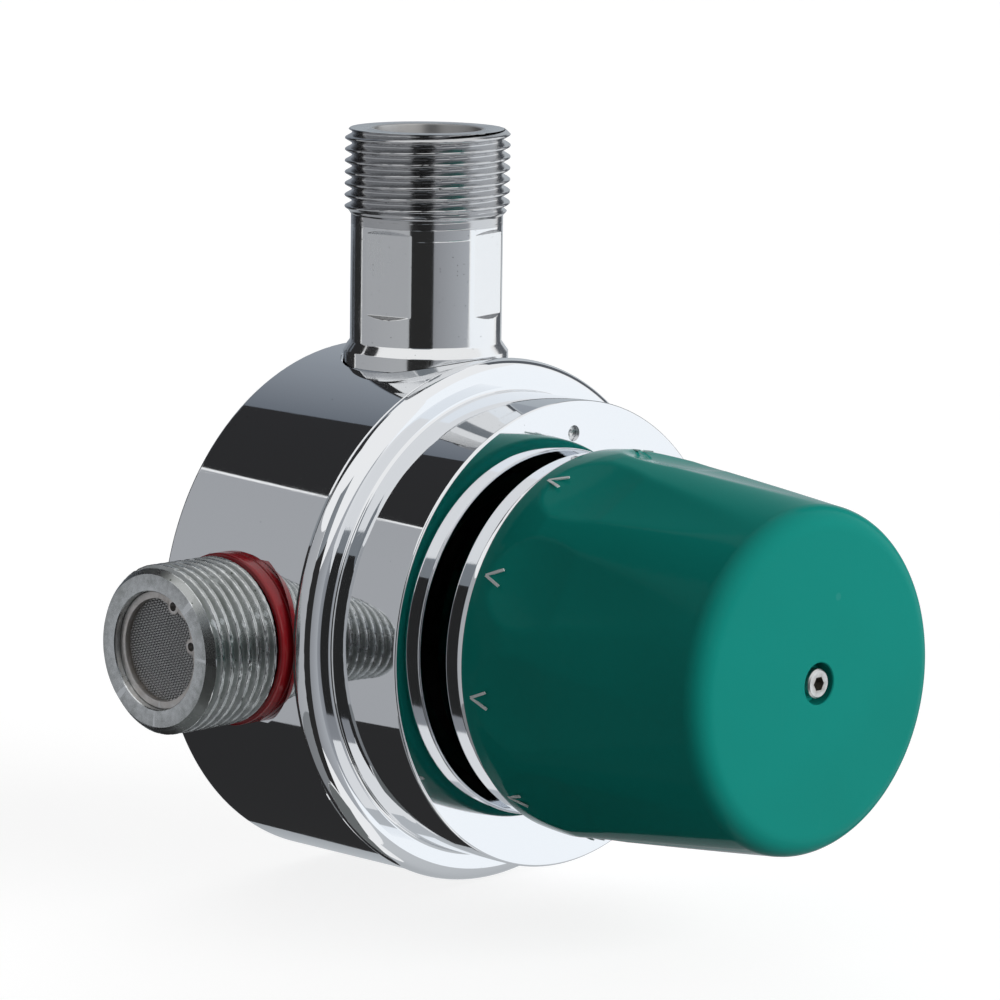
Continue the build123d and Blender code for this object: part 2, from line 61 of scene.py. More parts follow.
def meshFrom(name, points, faces, place=Matrix.Identity(4), sharpAngle=30):
    points = np.asarray(points, float)
    points = points @ np.array(place.to_3x3()).T + np.array(place.translation)
    mesh = bpy.data.meshes.new(name)
    mesh.from_pydata((points * mm).tolist(), [], faces)
    mesh.validate()
    piece = bpy.data.objects.new(name, mesh)
    bpy.context.scene.collection.objects.link(piece)
    mesh.shade_smooth()
    mesh.set_sharp_from_angle(angle=math.radians(sharpAngle))
    return piece


def ringFaces(rows, columns, closed):
    # quads between neighbouring rings of points; closed joins the last ring to the first
    faces = []
    last = rows if closed else rows - 1
    for j in range(last):
        nextRow = (j + 1) % rows
        for i in range(columns):
            nextColumn = (i + 1) % columns
            faces.append((j * columns + i, j * columns + nextColumn,
                          nextRow * columns + nextColumn, nextRow * columns + i))
    return faces


def rodFaces(start, steps, flip):
    # a closed four-sided rod, whose rings of points follow one another from start
    faces = []
    for step in range(steps):
        for k in range(4):
            a, b = start + 4 * step + k, start + 4 * step + (k + 1) % 4
            faces.append((b, a, a + 4, b + 4) if flip else (a, b, b + 4, a + 4))
    last = start + 4 * steps
    ends = [(start, start + 1, start + 2, start + 3), (last + 3, last + 2, last + 1, last)]
    return faces + (ends if flip else [end[::-1] for end in ends])


def turnedPiece(name, radius, along, place, closed=True, sharpAngle=30):
    # radius and along are (rows, columns) grids of one ring of points a row
    rows, columns = radius.shape
    turn = np.linspace(0, 2 * np.pi, columns, endpoint=False)
    points = np.stack([radius * np.cos(turn), radius * np.sin(turn), along], -1)
    faces = ringFaces(rows, columns, closed)
    points = points.reshape(-1, 3)
    if not closed:  # a disc closes each end on the axis
        count = len(points)
        ends = np.array([[0, 0, along[0].mean()], [0, 0, along[-1].mean()]])
        points = np.vstack([points, ends])
        low = (rows - 1) * columns
        for i in range(columns):
            after = (i + 1) % columns
            faces.append((after, i, count))
            faces.append((low + i, low + after, count + 1))
    return meshFrom(name, points, faces, place, sharpAngle)


def smooth(edge0, edge1, value):
    t = np.clip((value - edge0) / (edge1 - edge0), 0, 1)
    return t * t * (3 - 2 * t)


def softNoise(turn, along, seed, waves=40, fine=1.0):
    # seeded, smooth and periodic round the turn, about -1 to 1
    dice = np.random.default_rng(seed)
    total = np.zeros(np.broadcast(turn, along).shape)
    for wave in range(waves):
        roundTurn = dice.integers(1, int(40 * fine))
        alongRate = dice.normal(0, 2.2 * fine)
        total += np.sin(roundTurn * turn + alongRate * along + dice.uniform(0, 6.283))
    return total / math.sqrt(waves / 2)


def threadedPipe(name, axis, pipe):
    # one closed turned grid: outside with its thread and flats, end face, bore, inner end
    columns = pipe["columns"]
    turn = np.linspace(0, 2 * np.pi, columns, endpoint=False)[None, :]
    rows = []
    for start, stop, step in pipe["rows"]:
        rows += list(np.arange(start, stop, step))
    z = np.array(rows + [pipe["end"]])[:, None]
    crest, pitch, crestEnd, low = pipe["crest"], pipe["pitch"], pipe["crestWidth"], pipe["threadLow"]
    flankEnd = 0.5 - pipe["rootWidth"]
    phase = (z - pipe["phase"]) / pitch - turn / (2 * np.pi)
    fromCrest = np.abs(phase - np.round(phase))
    straight = np.clip((fromCrest - crestEnd) / (flankEnd - crestEnd), 0, 1)
    groove = 0.45 * smooth(crestEnd, flankEnd, fromCrest) + 0.55 * straight
    wear = softNoise(turn, z, pipe["seed"], 60, 3.0)
    bruise = smooth(1.5, 2.6, softNoise(turn, z * 0.6, pipe["seed"] + 1, 40, 2.0))
    top = crest - pipe["wear"] * smooth(0.1, 1.4, wear) - pipe["bruise"] * bruise
    threaded = np.minimum(crest - pipe["depth"] * groove, top)
    envelope = np.interp(z, [p[1] for p in pipe["outline"]], [p[0] for p in pipe["outline"]])
    inThread = smooth(low - pipe["runOut"][0], low + pipe["runOut"][1], z)
    blended = np.minimum(envelope, threaded * inThread + envelope * (1 - inThread))
    outer = np.where(z > low - pipe["runOut"][0], blended, envelope + 0 * turn)
    for height, lowEnd, highEnd in pipe["scribes"]:  # shallow tool lines that run on below the thread
        phase = (z - height) / pitch - (turn - math.radians(pipe["scribeTurn"])) / (2 * np.pi)
        line = smooth(pipe["scribeHalf"], 0.0, np.abs(phase - np.round(phase)) * pitch)
        outer = outer - pipe["scribeDepth"] * (line * (z > lowEnd) * (z < highEnd))
    for centre in pipe["flats"]:  # milled flats whose ends slope out to the round
        away = (turn - math.radians(centre) + np.pi) % (2 * np.pi) - np.pi
        across = pipe["halfFlat"] / np.maximum(np.cos(away), 0.2)
        slope = np.maximum(np.maximum(z - pipe["flatHigh"], pipe["flatLow"] - z), 0) * pipe["millSlope"]
        outer = np.where(np.abs(away) < 0.6, np.minimum(outer, across + slope), outer)
    bore = np.array(pipe["bore"], float)
    radius = np.vstack([outer, np.repeat(bore[:, :1], columns, 1)])
    along = np.vstack([np.repeat(z, columns, 1), np.repeat(bore[:, 1:], columns, 1)])
    return turnedPiece(name, radius, along, placeAlong(axis), True, pipe["sharpAngle"])


outletPipe = {
    "columns": 240, "end": 77.1, "seed": 11, "sharpAngle": 38,
    "crest": 13.15, "pitch": 1.814, "depth": 1.12, "phase": 74.82,
    "crestWidth": 0.05, "rootWidth": 0.05, "wear": 0.02, "bruise": 0.10,
    "threadLow": 63.7, "runOut": (0.2, 0.9),
    "rows": [(27.7, 39.4, 3.9), (39.4, 39.56, 0.08), (39.6, 41.7, 0.7), (41.7, 43.6, 0.1),
             (43.6, 47.4, 0.95), (47.4, 48.5, 0.06), (48.5, 59.5, 1.0), (59.5, 63.4, 0.06),
             (63.4, 77.1, 0.08)],
    "outline": [(10.95, 27.7), (10.95, 39.4), (13.1, 39.5), (13.2, 39.6), (13.2, 41.8), (13.12, 41.93),
                (12.16, 43.3), (12.1, 43.45), (12.1, 63.5), (13.15, 64.6), (13.15, 76.34), (12.39, 77.1)],
    "flats": [-166.5, -76.5, 13.5, 103.5], "halfFlat": 11.4,
    "flatLow": 48.2, "flatHigh": 61.05, "millSlope": 1.1,
    "scribes": [(63.1, 62.2, 63.9), (62.05, 59.6, 63.9)], "scribeTurn": -135, "scribeHalf": 0.09,
    "scribeDepth": 0.035,
    "bore": [(12.3, 77.1), (8.75, 77.1), (8.5, 77.0), (8.43, 76.8), (8.43, 60), (8.43, 40), (8.43, 27.7)],
}
outlet = threadedPipe("outletPipe", "up", outletPipe)
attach(outlet, "valve_body")
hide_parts("outlet_pipe")
print("outlet pipe")

inletPipe = {
    "columns": 240, "end": 57.5, "sharpAngle": 38, "scribes": [], "flats": [],
    "crest": 13.15, "pitch": 1.814, "depth": 1.05, "phase": 55.3,
    "crestWidth": 0.14, "rootWidth": 0.05, "wear": 0.05, "bruise": 0.14,
    "threadLow": 43.4, "runOut": (0.2, 0.9),
    "rows": [(27.7, 39.4, 3.9), (39.4, 39.56, 0.08), (39.6, 43.1, 0.7), (43.1, 57.5, 0.075)],
    "outline": [(10.95, 27.7), (10.95, 39.4), (11.5, 39.5), (11.5, 43.2), (12.4, 43.26),
                (13.15, 44.0), (13.15, 56.2), (11.85, 57.5)],
    "bore": [(11.75, 57.5), (9.3, 57.5), (9.16, 57.35), (9.16, 50), (9.16, 35.5), (7.63, 35.5), (7.63, 27.7)],
}
for side, seed in (("hot", 23), ("cold", 29)):
    inlet = threadedPipe(side + "InletPipe", side, dict(inletPipe, seed=seed))
    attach(inlet, "valve_body")
    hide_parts(side + "_inlet_pipe")
print("inlet pipes")


knobShape = {
    "columns": 360,
    "rear": 55.3, "front": 101.4, "baseRadius": 30.2, "skirt": 64.0, "skirtRadius": 30.55,
    "swell": 0.125, "sideRadius": 26.8, "faceRadius": 23.05, "rearRound": 0.7, "rearRise": 1.2,
    "flutes": 10, "phase": 27.0, "cutRadius": 90.0, "depth": 0.86, "start": 72.5, "end": 95.5,
    "runIn": 60.0, "edgeSoftness": 0.2,
    "wall": 2.8, "pocket": 3.2, "pocketDepth": 2.6, "pocketEdge": 0.15, "screwBore": 1.4,
    "hub": 7.2, "hubEnd": 65.0, "socket": 3.55, "socketEnd": 90.0, "hollowEnd": 98.2,
}


def knobSide(knob):
    # (radius, distance forward) from the rear edge, up the skirt and the taper, to the flat face
    base, skirt, rear = knob["baseRadius"], knob["skirtRadius"], knob["rear"]
    drop, rise = knob["rearRound"], knob["rearRise"]
    corner = knob["sideRadius"] - knob["faceRadius"]
    side = [(base - drop, rear)]
    for step in range(1, 6):
        bend = math.radians(18 * step)
        side.append((base - drop + drop * math.sin(bend), rear + rise * (1 - math.cos(bend))))
    for share in np.linspace(0, 1, 21)[1:]:
        radius = base + (skirt - base) * share + 4 * knob["swell"] * share * (1 - share)
        side.append((radius, rear + rise + (knob["skirt"] - rear - rise) * share))
    taperEnd = knob["front"] - corner
    for share in np.linspace(0, 1, 91)[1:]:
        along = knob["skirt"] + (taperEnd - knob["skirt"]) * share
        side.append((skirt + (knob["sideRadius"] - skirt) * share, along))
    for step in range(1, 15):
        bend = math.radians(90 * step / 14)
        side.append((knob["faceRadius"] + corner * math.cos(bend), taperEnd + corner * math.sin(bend)))
    return np.array(side)


def knobPiece(knob):
    # flutes are leaning scoops of one radius with a ball-shaped start
    columns = knob["columns"]
    turn = np.linspace(0, 2 * np.pi, columns, endpoint=False)[None, :]
    side = knobSide(knob)
    radius, along = side[:, :1] + 0 * turn, side[:, 1:] + 0 * turn
    startRadius = np.interp(knob["start"], side[:, 1], side[:, 0]) - knob["depth"]
    endRadius = np.interp(knob["end"], side[:, 1], side[:, 0])
    lean = (startRadius - endRadius) / (knob["end"] - knob["start"])
    axisRadius = startRadius + knob["cutRadius"] - lean * np.maximum(along - knob["start"], 0)
    back = np.clip(knob["start"] - along, 0, knob["runIn"] * 0.9)
    lift = knob["runIn"] - np.sqrt(knob["runIn"] ** 2 - back ** 2)
    gap = 2 * np.pi / knob["flutes"]
    fromTop = np.pi / 2 - turn  # turn 0 is +X, the flutes are counted from the top towards -X
    away = (-fromTop - math.radians(knob["phase"]) + gap / 2) % gap - gap / 2
    under = knob["cutRadius"] ** 2 - (axisRadius * np.sin(away)) ** 2
    cut = axisRadius * np.cos(away) - np.sqrt(under) + lift
    soft = knob["edgeSoftness"]
    blend = np.clip(0.5 + 0.5 * (cut - radius) / soft, 0, 1)
    radius = cut * (1 - blend) + radius * blend - soft * blend * (1 - blend)
    pocket, edge, pocketFloor = knob["pocket"], knob["pocketEdge"], knob["front"] - knob["pocketDepth"]
    hollowFront, hollowRear = knob["sideRadius"] - knob["wall"], knob["baseRadius"] - knob["wall"]
    inner = np.array([(pocket + edge, knob["front"]), (pocket, knob["front"] - edge), (pocket, pocketFloor),
                      (knob["screwBore"], pocketFloor), (knob["screwBore"], knob["socketEnd"]),
                      (knob["socket"], knob["socketEnd"]), (knob["socket"], knob["hubEnd"]),
                      (knob["hub"], knob["hubEnd"]), (knob["hub"], knob["hollowEnd"]),
                      (hollowFront - 3.6, knob["hollowEnd"]), (hollowFront - 0.6, knob["hollowEnd"] - 3),
                      (hollowRear - 0.8, knob["rear"] + 3.5), (hollowRear, knob["rear"] + 3.4),
                      (hollowRear, knob["rear"])])
    radius = np.vstack([radius, inner[:, :1] + 0 * turn])
    along = np.vstack([along, inner[:, 1:] + 0 * turn])
    return turnedPiece("knobShell", radius, along, placeAlong("front"), True, 32)


knob = knobPiece(knobShape)
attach(knob, "knob_group")
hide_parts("knob")
print("knob")


markShape = {"first": 27.0, "count": 10, "tip": -57.6, "end": -61.0, "halfAngle": 2.5, "width": 0.5,
             "raised": 0.015, "sunk": -0.2}


def knobMarks(mark):
    # one printed < at the rear of each flute, its tip towards the plate
    points, faces = [], []
    surface = knobSide(knobShape)
    for number in range(mark["count"]):
        middle = mark["first"] + 360 / mark["count"] * number
        for side in (-1, 1):
            start, along, half = len(points), mark["end"] - mark["tip"], mark["width"] / 2
            low, high = mark["sunk"], mark["raised"]
            for step in range(9):
                share = step / 8
                y = mark["tip"] + along * share
                for shift, lift in ((-half, low), (half, low), (half, high), (-half, high)):
                    radius = np.interp(-y, surface[:, 1], surface[:, 0]) + lift
                    angle = math.radians(middle + side * mark["halfAngle"] * share)
                    angle += side * shift * 0.75 / radius
                    here = y + shift * 0.55
                    points.append((-radius * math.sin(angle), here, radius * math.cos(angle)))
            faces += rodFaces(start, 8, side > 0)
    return meshFrom("knobMarks", points, faces)


marks = knobMarks(markShape)
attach(marks, "knob_group")
print("knob marks")


strainerShape = {
    "outer": 9.12, "inner": 7.95, "top": 56.4, "low": 54.4,
    "ears": ((-23.5, 7.8), (-78.3, 7.4)), "earHole": 0.7, "earWidth": 1.25,
    "meshHeight": 55.2, "wirePitch": 0.39, "wireRadius": 0.078, "wireTurn": 15.0, "meshRadius": 8.1,
}


def wovenDisc(name, weave, place):
    points, faces = [], []
    pitch, radius = weave["wirePitch"], weave["wireRadius"]
    count = int(weave["meshRadius"] / pitch)
    turn = math.radians(weave["wireTurn"])
    cosTurn, sinTurn = math.cos(turn), math.sin(turn)
    for across in (0, 1):
        for number in range(-count, count + 1):
            offset = number * pitch
            half = math.sqrt(max(weave["meshRadius"] ** 2 - offset ** 2, 0.01))
            steps = max(int(2 * half / pitch * 3), 3)
            start = len(points)
            for step in range(steps + 1):
                run = -half + 2 * half * step / steps
                swing = math.cos(math.pi * (run / pitch + number + across))
                height = weave["meshHeight"] + swing * radius * 0.95
                for corner in range(4):
                    bend = math.pi / 2 * corner + math.pi / 4
                    side, lift = radius * math.cos(bend), radius * math.sin(bend)
                    x, y = (run, offset + side) if across else (offset + side, run)
                    points.append((x * cosTurn - y * sinTurn, x * sinTurn + y * cosTurn, height + lift))
            faces += rodFaces(start, steps, across == 0)
    return meshFrom(name, points, faces, place, 80)


def profilePiece(name, profile, place, columns=240, sharpAngle=30):
    # profile is a closed list of (radius, distance along), turned about the piece's own axis;
    # a row close to each end of a long run keeps its shading straight
    turn = np.zeros((1, columns))
    longRun, support = 0.45, 0.04
    rows = []
    for here, after in zip(profile, profile[1:] + profile[:1]):
        rows.append(here)
        run = math.dist(here, after)
        if run > longRun:
            for share in (support / run, 1 - support / run):
                rows.append(tuple(a + (b - a) * share for a, b in zip(here, after)))
    rows = np.array(rows)
    return turnedPiece(name, rows[:, :1] + turn, rows[:, 1:] + turn, place, True, sharpAngle)


def roundedCorner(radius, along, size, start, end, steps=6):
    # points on a quarter circle about (radius, along), from one angle to the other, in degrees
    angles = np.radians(np.linspace(start, end, steps + 1))
    return [(radius + size * math.cos(a), along + size * math.sin(a)) for a in angles]


def arcThrough(first, middle, last, steps=8):
    # points after the first on the circle through three points
    (ax, ay), (bx, by), (cx, cy) = first, middle, last
    turn = 2 * (ax * (by - cy) + bx * (cy - ay) + cx * (ay - by))
    a, b, c = ax * ax + ay * ay, bx * bx + by * by, cx * cx + cy * cy
    x = (a * (by - cy) + b * (cy - ay) + c * (ay - by)) / turn
    y = (a * (cx - bx) + b * (ax - cx) + c * (bx - ax)) / turn
    start, end = math.atan2(ay - y, ax - x), math.atan2(cy - y, cx - x)
    sweep = (end - start + math.pi) % (2 * math.pi) - math.pi
    reach = math.hypot(ax - x, ay - y)
    angles = [start + sweep * step / steps for step in range(1, steps + 1)]
    return [(x + reach * math.cos(angle), y + reach * math.sin(angle)) for angle in angles]


def punchHole(piece, radius, low, high, place):
    # cuts a round hole along the place's own axis
    ends = np.array([[low], [high]]) + np.zeros((1, 48))
    punch = turnedPiece("punch", radius + 0 * ends, ends, place, False)
    cut = piece.modifiers.new("cut", "BOOLEAN")
    cut.operation, cut.object, cut.solver = "DIFFERENCE", punch, "EXACT"
    evaluated = piece.evaluated_get(bpy.context.evaluated_depsgraph_get())
    mesh = bpy.data.meshes.new_from_object(evaluated)
    piece.modifiers.clear()
    piece.data = mesh
    bpy.data.objects.remove(punch)
    piece.data.shade_smooth()
    piece.data.set_sharp_from_angle(angle=math.radians(40))


bonnetShape = {
    "rear": 30.9, "face": 48.3, "crest": 41.8, "neck": 36.9, "neckInside": 33.1, "rearLip": 0.6,
    "flangeDepth": 3.25, "flangeRound": 2.8, "cove": 0.6, "faceEdge": 0.4, "plateInside": 44.7,
    "spigot": 21.0, "spigotEnd": 26.7, "boss": 22.0, "bossEnd": 53.0, "hub": 9.0, "hubEnd": 60.0,
    "spindleHole": 5.05, "cartridge": 17.05, "sleeveFront": 40.5, "ledge": 8.0, "ledgeDepth": 3.9,
    "indexAcross": 1.4, "indexUp": 31.7, "indexHole": 1.26, "indexDepth": 3.0,
}


def bonnetPiece(shape):
    rear, face, crest, neck = shape["rear"], shape["face"], shape["crest"], shape["neck"]
    spigot, inside, hub, boss = shape["spigot"], shape["neckInside"], shape["hub"], shape["boss"]
    drop, cove, edge = shape["flangeRound"], shape["cove"], shape["faceEdge"]
    lip, foot = rear + shape["rearLip"], rear + shape["flangeDepth"]
    rise = shape["flangeDepth"] - shape["rearLip"]
    waist = (crest - drop * 0.347, lip + rise * 0.736)
    profile = [(shape["cartridge"], shape["spigotEnd"]), (spigot - 0.4, shape["spigotEnd"]),
               (spigot, shape["spigotEnd"] + 0.4), (spigot, rear - 3.0), (spigot - 1.5, rear - 3.0),
               (spigot - 1.5, rear - 1.0), (spigot, rear - 1.0), (spigot, shape["plateInside"] - 2),
               (spigot + 2, shape["plateInside"]), (inside - 2, shape["plateInside"]),
               (inside, shape["plateInside"] - 2), (inside, rear), (crest - 0.5, rear)]
    profile += arcThrough((crest - 0.5, rear), (crest - 0.15, rear + 0.17), (crest, lip), 4)
    profile += arcThrough((crest, lip), (crest - drop * 0.101, lip + rise * 0.406), waist, 10)
    profile += arcThrough(waist, (crest - drop * 0.652, lip + rise * 0.925), (crest - drop, foot), 10)
    coveMiddle = (neck + cove * 0.29, foot + cove * 0.29)
    profile += [(neck + cove, foot)] + arcThrough((neck + cove, foot), coveMiddle, (neck, foot + cove), 6)
    profile += [(neck, face - edge)] + roundedCorner(neck - edge, face - edge, edge, 0, 90, 5)[1:]
    bossEnd, hubEnd, hole = shape["bossEnd"], shape["hubEnd"], shape["spindleHole"]
    ledge, sleeve = shape["ledge"], shape["sleeveFront"]
    ledgeEnd = sleeve + shape["ledgeDepth"]
    profile += [(boss, face), (boss, bossEnd - 0.5), (boss - 0.5, bossEnd), (hub, bossEnd),
                (hub, hubEnd - 0.4), (hub - 0.4, hubEnd), (hole, hubEnd), (hole, ledgeEnd),
                (ledge, ledgeEnd), (ledge, sleeve), (shape["cartridge"], sleeve)]
    piece = profilePiece("bonnetShell", profile, placeAlong("front"), 360, 40)
    index = Matrix.Translation(Vector((shape["indexAcross"], 0, shape["indexUp"]))) @ placeAlong("front")
    punchHole(piece, shape["indexHole"], face - shape["indexDepth"], face + 1, index)
    return piece


bonnet = bonnetPiece(bonnetShape)
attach(bonnet, "valve_body")
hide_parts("bonnet")
print("bonnet")

trimShape = {"rear": 51.1, "front": 55.25, "radius": 29.05, "rearEdge": 0.4, "frontEdge": 1.5, "seat": 27.38,
             "seatEnd": 58.3, "bore": 24.98}


def trimPiece(ring):
    radius, front, low, high = ring["radius"], ring["front"], ring["rearEdge"], ring["frontEdge"]
    profile = [(ring["bore"], ring["rear"])]
    profile += roundedCorner(radius - low, ring["rear"] + low, low, -90, 0)
    profile += roundedCorner(radius - high, front - high, high, 0, 90, 10)
    profile += [(ring["seat"], front), (ring["seat"], ring["seatEnd"]), (ring["bore"], ring["seatEnd"])]
    return profilePiece("trimRing", profile, placeAlong("front"), 360)


trim = trimPiece(trimShape)
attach(trim, "knob_group")
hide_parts("knob_trim_ring")

markerShape = {"low": 39.5, "high": 43.15, "bore": 12.62, "radius": 13.5, "line": 40.9, "lineDepth": 0.35,
               "lineHalf": 0.2, "lowEdge": 0.2, "highEdge": 0.5}


def markerPiece(name, ring, place):
    radius, middle, half = ring["radius"], ring["line"], ring["lineHalf"]
    low, high = ring["lowEdge"], ring["highEdge"]
    profile = [(ring["bore"], ring["low"])] + roundedCorner(radius - low, ring["low"] + low, low, -90, 0, 3)
    profile += [(radius, middle - half), (radius - ring["lineDepth"], middle), (radius, middle + half)]
    profile += roundedCorner(radius - high, ring["high"] - high, high, 0, 90) + [(ring["bore"], ring["high"])]
    return profilePiece(name, profile, place)


for side, color in (("hot", "red"), ("cold", "blue")):
    marker = markerPiece(side + "Marker", markerShape, placeAlong(side))
    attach(marker, "valve_body")
    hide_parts(side + "_marker_ring")
print("rings")


def strainerRim(name, rim, place):
    # a rolled rim whose inner edge swells into two pierced ears
    columns = 360
    turn = np.linspace(0, 2 * np.pi, columns, endpoint=False)[None, :]
    inner = rim["inner"] + 0 * turn
    for ear, earReach in rim["ears"]:
        away = (turn - math.radians(ear) + np.pi) % (2 * np.pi) - np.pi
        under = rim["earWidth"] ** 2 - (earReach * np.sin(away)) ** 2
        reach = earReach * np.cos(away) - np.sqrt(np.maximum(under, 0))
        inner = np.where((under > 0) & (np.abs(away) < 1), np.minimum(inner, reach), inner)
        shoulder = smooth(0.46, 0.20, np.abs(away)) * 0.35
        inner = np.minimum(inner, rim["inner"] - shoulder)
    outer, top, low = rim["outer"], rim["top"], rim["low"]
    rows = [(outer, low), (outer, top - 0.1), (outer - 0.1, top), (inner + 0.25, top),
            (inner + 0.06, top - 0.06), (inner, top - 0.25), (inner, top - 0.75), (inner + 0.05, top - 0.8),
            (rim["inner"] + 0.1, low)]
    radius = np.vstack([reach + 0 * turn for reach, z in rows])
    along = np.vstack([z + 0 * turn for reach, z in rows])
    piece = turnedPiece(name, radius, along, place, True, 40)
    for ear, earReach in rim["ears"]:
        ear = math.radians(ear)
        shift = Matrix.Translation(Vector((earReach * math.cos(ear), earReach * math.sin(ear), 0)))
        punchHole(piece, rim["earHole"], top - 2, top + 1, place @ shift)
    return piece


for side in ("hot", "cold"):
    rim = strainerRim(side + "StrainerRim", strainerShape, placeAlong(side))
    weave = wovenDisc(side + "StrainerMesh", strainerShape, placeAlong(side))
    for piece in (rim, weave):
        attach(piece, "valve_body")
        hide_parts(side + "_strainer")
print("strainers")


# Nodes

def addNode(tree, kind, sockets=None, **settings):
    node = tree.nodes.new(kind)
    for key, value in settings.items():
        setattr(node, key, value)
    for key, value in (sockets or {}).items():
        if isinstance(value, bpy.types.NodeSocket):
            tree.links.new(value, node.inputs[key])
        else:
            node.inputs[key].default_value = value
    return node


def mathNode(tree, operation, first, second=0.0, third=0.0, clamp=False):
    sockets = {0: first, 1: second, 2: third}
    return addNode(tree, "ShaderNodeMath", sockets, operation=operation, use_clamp=clamp).outputs[0]


def vectorMath(tree, operation, first, second=(0, 0, 0)):
    node = addNode(tree, "ShaderNodeVectorMath", {0: first, 1: second}, operation=operation)
    return node.outputs["Value" if operation == "LENGTH" else "Vector"]


def mapRange(tree, value, low, high, kind="SMOOTHSTEP"):
    sockets = {"Value": value, "From Min": low, "From Max": high, "To Min": 0.0, "To Max": 1.0}
    return addNode(tree, "ShaderNodeMapRange", sockets, interpolation_type=kind).outputs[0]


def noise(tree, place, scale, detail=3.0, rough=0.5, distortion=0.0):
    sockets = {"Vector": place, "Scale": scale, "Detail": detail, "Roughness": rough,
               "Distortion": distortion}
    return addNode(tree, "ShaderNodeTexNoise", sockets).outputs["Fac"]


def mixColor(tree, factor, first, second):
    # a colour written as three numbers gets its alpha here
    first, second = [(*value, 1) if isinstance(value, tuple) else value for value in (first, second)]
    return addNode(tree, "ShaderNodeMix", {0: factor, 6: first, 7: second}, data_type="RGBA").outputs[2]


def newGroup(name, inputs, outputs):
    # inputs are numbers with their usual value, after Place, which every group has
    group = bpy.data.node_groups.new(name, "ShaderNodeTree")
    group.interface.new_socket("Place", in_out="INPUT", socket_type="NodeSocketVector")
    for label, value in inputs.items():
        socket = group.interface.new_socket(label, in_out="INPUT", socket_type="NodeSocketFloat")
        socket.default_value = value
    for label in outputs:
        group.interface.new_socket(label, in_out="OUTPUT", socket_type="NodeSocketFloat")
    return group, group.nodes.new("NodeGroupInput").outputs, group.nodes.new("NodeGroupOutput").inputs


def makeFineScratches():
    # hairlines in three directions, as wiping leaves them
    group, given, gives = newGroup("fineScratches", {"Scale": 900.0, "Amount": 0.3}, ["Mask"])
    total = None
    for turn, seed in (((0.4, 0.2, 0.3), 0.0), ((1.3, 0.9, 2.0), 5.0), ((2.4, 1.7, 1.1), 9.0)):
        sockets = {"Vector": given["Place"], "Rotation": turn, "Scale": (1.0, 0.03, 0.03),
                   "Location": (seed, seed, 0)}
        turned = addNode(group, "ShaderNodeMapping", sockets)
        value = noise(group, turned.outputs[0], given["Scale"], 2.0, 0.6)
        ridge = mathNode(group, "ABSOLUTE", mathNode(group, "SUBTRACT", value, 0.5))
        line = mapRange(group, ridge, 0.012, 0.0)
        where = mapRange(group, noise(group, given["Place"], 60.0 + seed * 7, 1.0), 0.50, 0.68)
        line = mathNode(group, "MULTIPLY", line, where)
        total = line if total is None else mathNode(group, "MAXIMUM", total, line)
    group.links.new(mathNode(group, "MULTIPLY", total, given["Amount"]), gives["Mask"])
    return group


def makeEdgeWear():
    # edges rubbed bright, and a mask of the hollows, which the finishes darken
    group, given, gives = newGroup("edgeWear", {"Reach": 0.06, "Breakup": 400.0}, ["Mask", "Hollow"])
    point = addNode(group, "ShaderNodeNewGeometry").outputs["Pointiness"]
    breakup = mathNode(group, "SUBTRACT", noise(group, given["Place"], given["Breakup"], 4.0, 0.7), 0.5)
    ragged = mathNode(group, "MULTIPLY", breakup, 0.10)
    edge = mathNode(group, "ADD", mathNode(group, "SUBTRACT", point, 0.5), ragged)
    group.links.new(mapRange(group, edge, 0.01, given["Reach"], "LINEAR"), gives["Mask"])
    group.links.new(mapRange(group, mathNode(group, "SUBTRACT", 0.5, point), 0.01, 0.09), gives["Hollow"])
    return group


def makeMouldedGrain():
    # the fine grain of a mould, and the slow clouds of how the plastic flowed
    group, given, gives = newGroup("mouldedGrain", {"Scale": 2500.0, "Flow": 30.0}, ["Height", "Cloud"])
    grain = noise(group, given["Place"], given["Scale"], 3.0, 0.6)
    swell = noise(group, given["Place"], given["Flow"], 2.0, 0.5, 0.6)
    group.links.new(mathNode(group, "ADD", mathNode(group, "MULTIPLY", grain, 0.35), swell), gives["Height"])
    group.links.new(mapRange(group, swell, 0.3, 0.7), gives["Cloud"])
    return group


def makeSpecks():
    # scattered small specks: dust on plastic, pits in plating
    group, given, gives = newGroup("specks", {"Scale": 700.0, "Share": 0.12}, ["Mask"])
    sockets = {"Vector": given["Place"], "Scale": given["Scale"], "Randomness": 1.0}
    cell = addNode(group, "ShaderNodeTexVoronoi", sockets)
    dice = addNode(group, "ShaderNodeSeparateColor", {0: cell.outputs["Color"]})
    chosen = mathNode(group, "LESS_THAN", dice.outputs[0], given["Share"])
    size = mathNode(group, "MULTIPLY_ADD", dice.outputs[1], 0.22, 0.08)
    inside = mapRange(group, mathNode(group, "SUBTRACT", size, cell.outputs["Distance"]), 0.0, 0.06)
    group.links.new(mathNode(group, "MULTIPLY", inside, chosen), gives["Mask"])
    return group


def fromAxis(tree, place):
    # distance from the Z axis, and distance along it
    split = addNode(tree, "ShaderNodeSeparateXYZ", {0: place}).outputs
    level = addNode(tree, "ShaderNodeCombineXYZ", {0: split[0], 1: split[1], 2: 0.0}).outputs[0]
    return vectorMath(tree, "LENGTH", level), split[2]


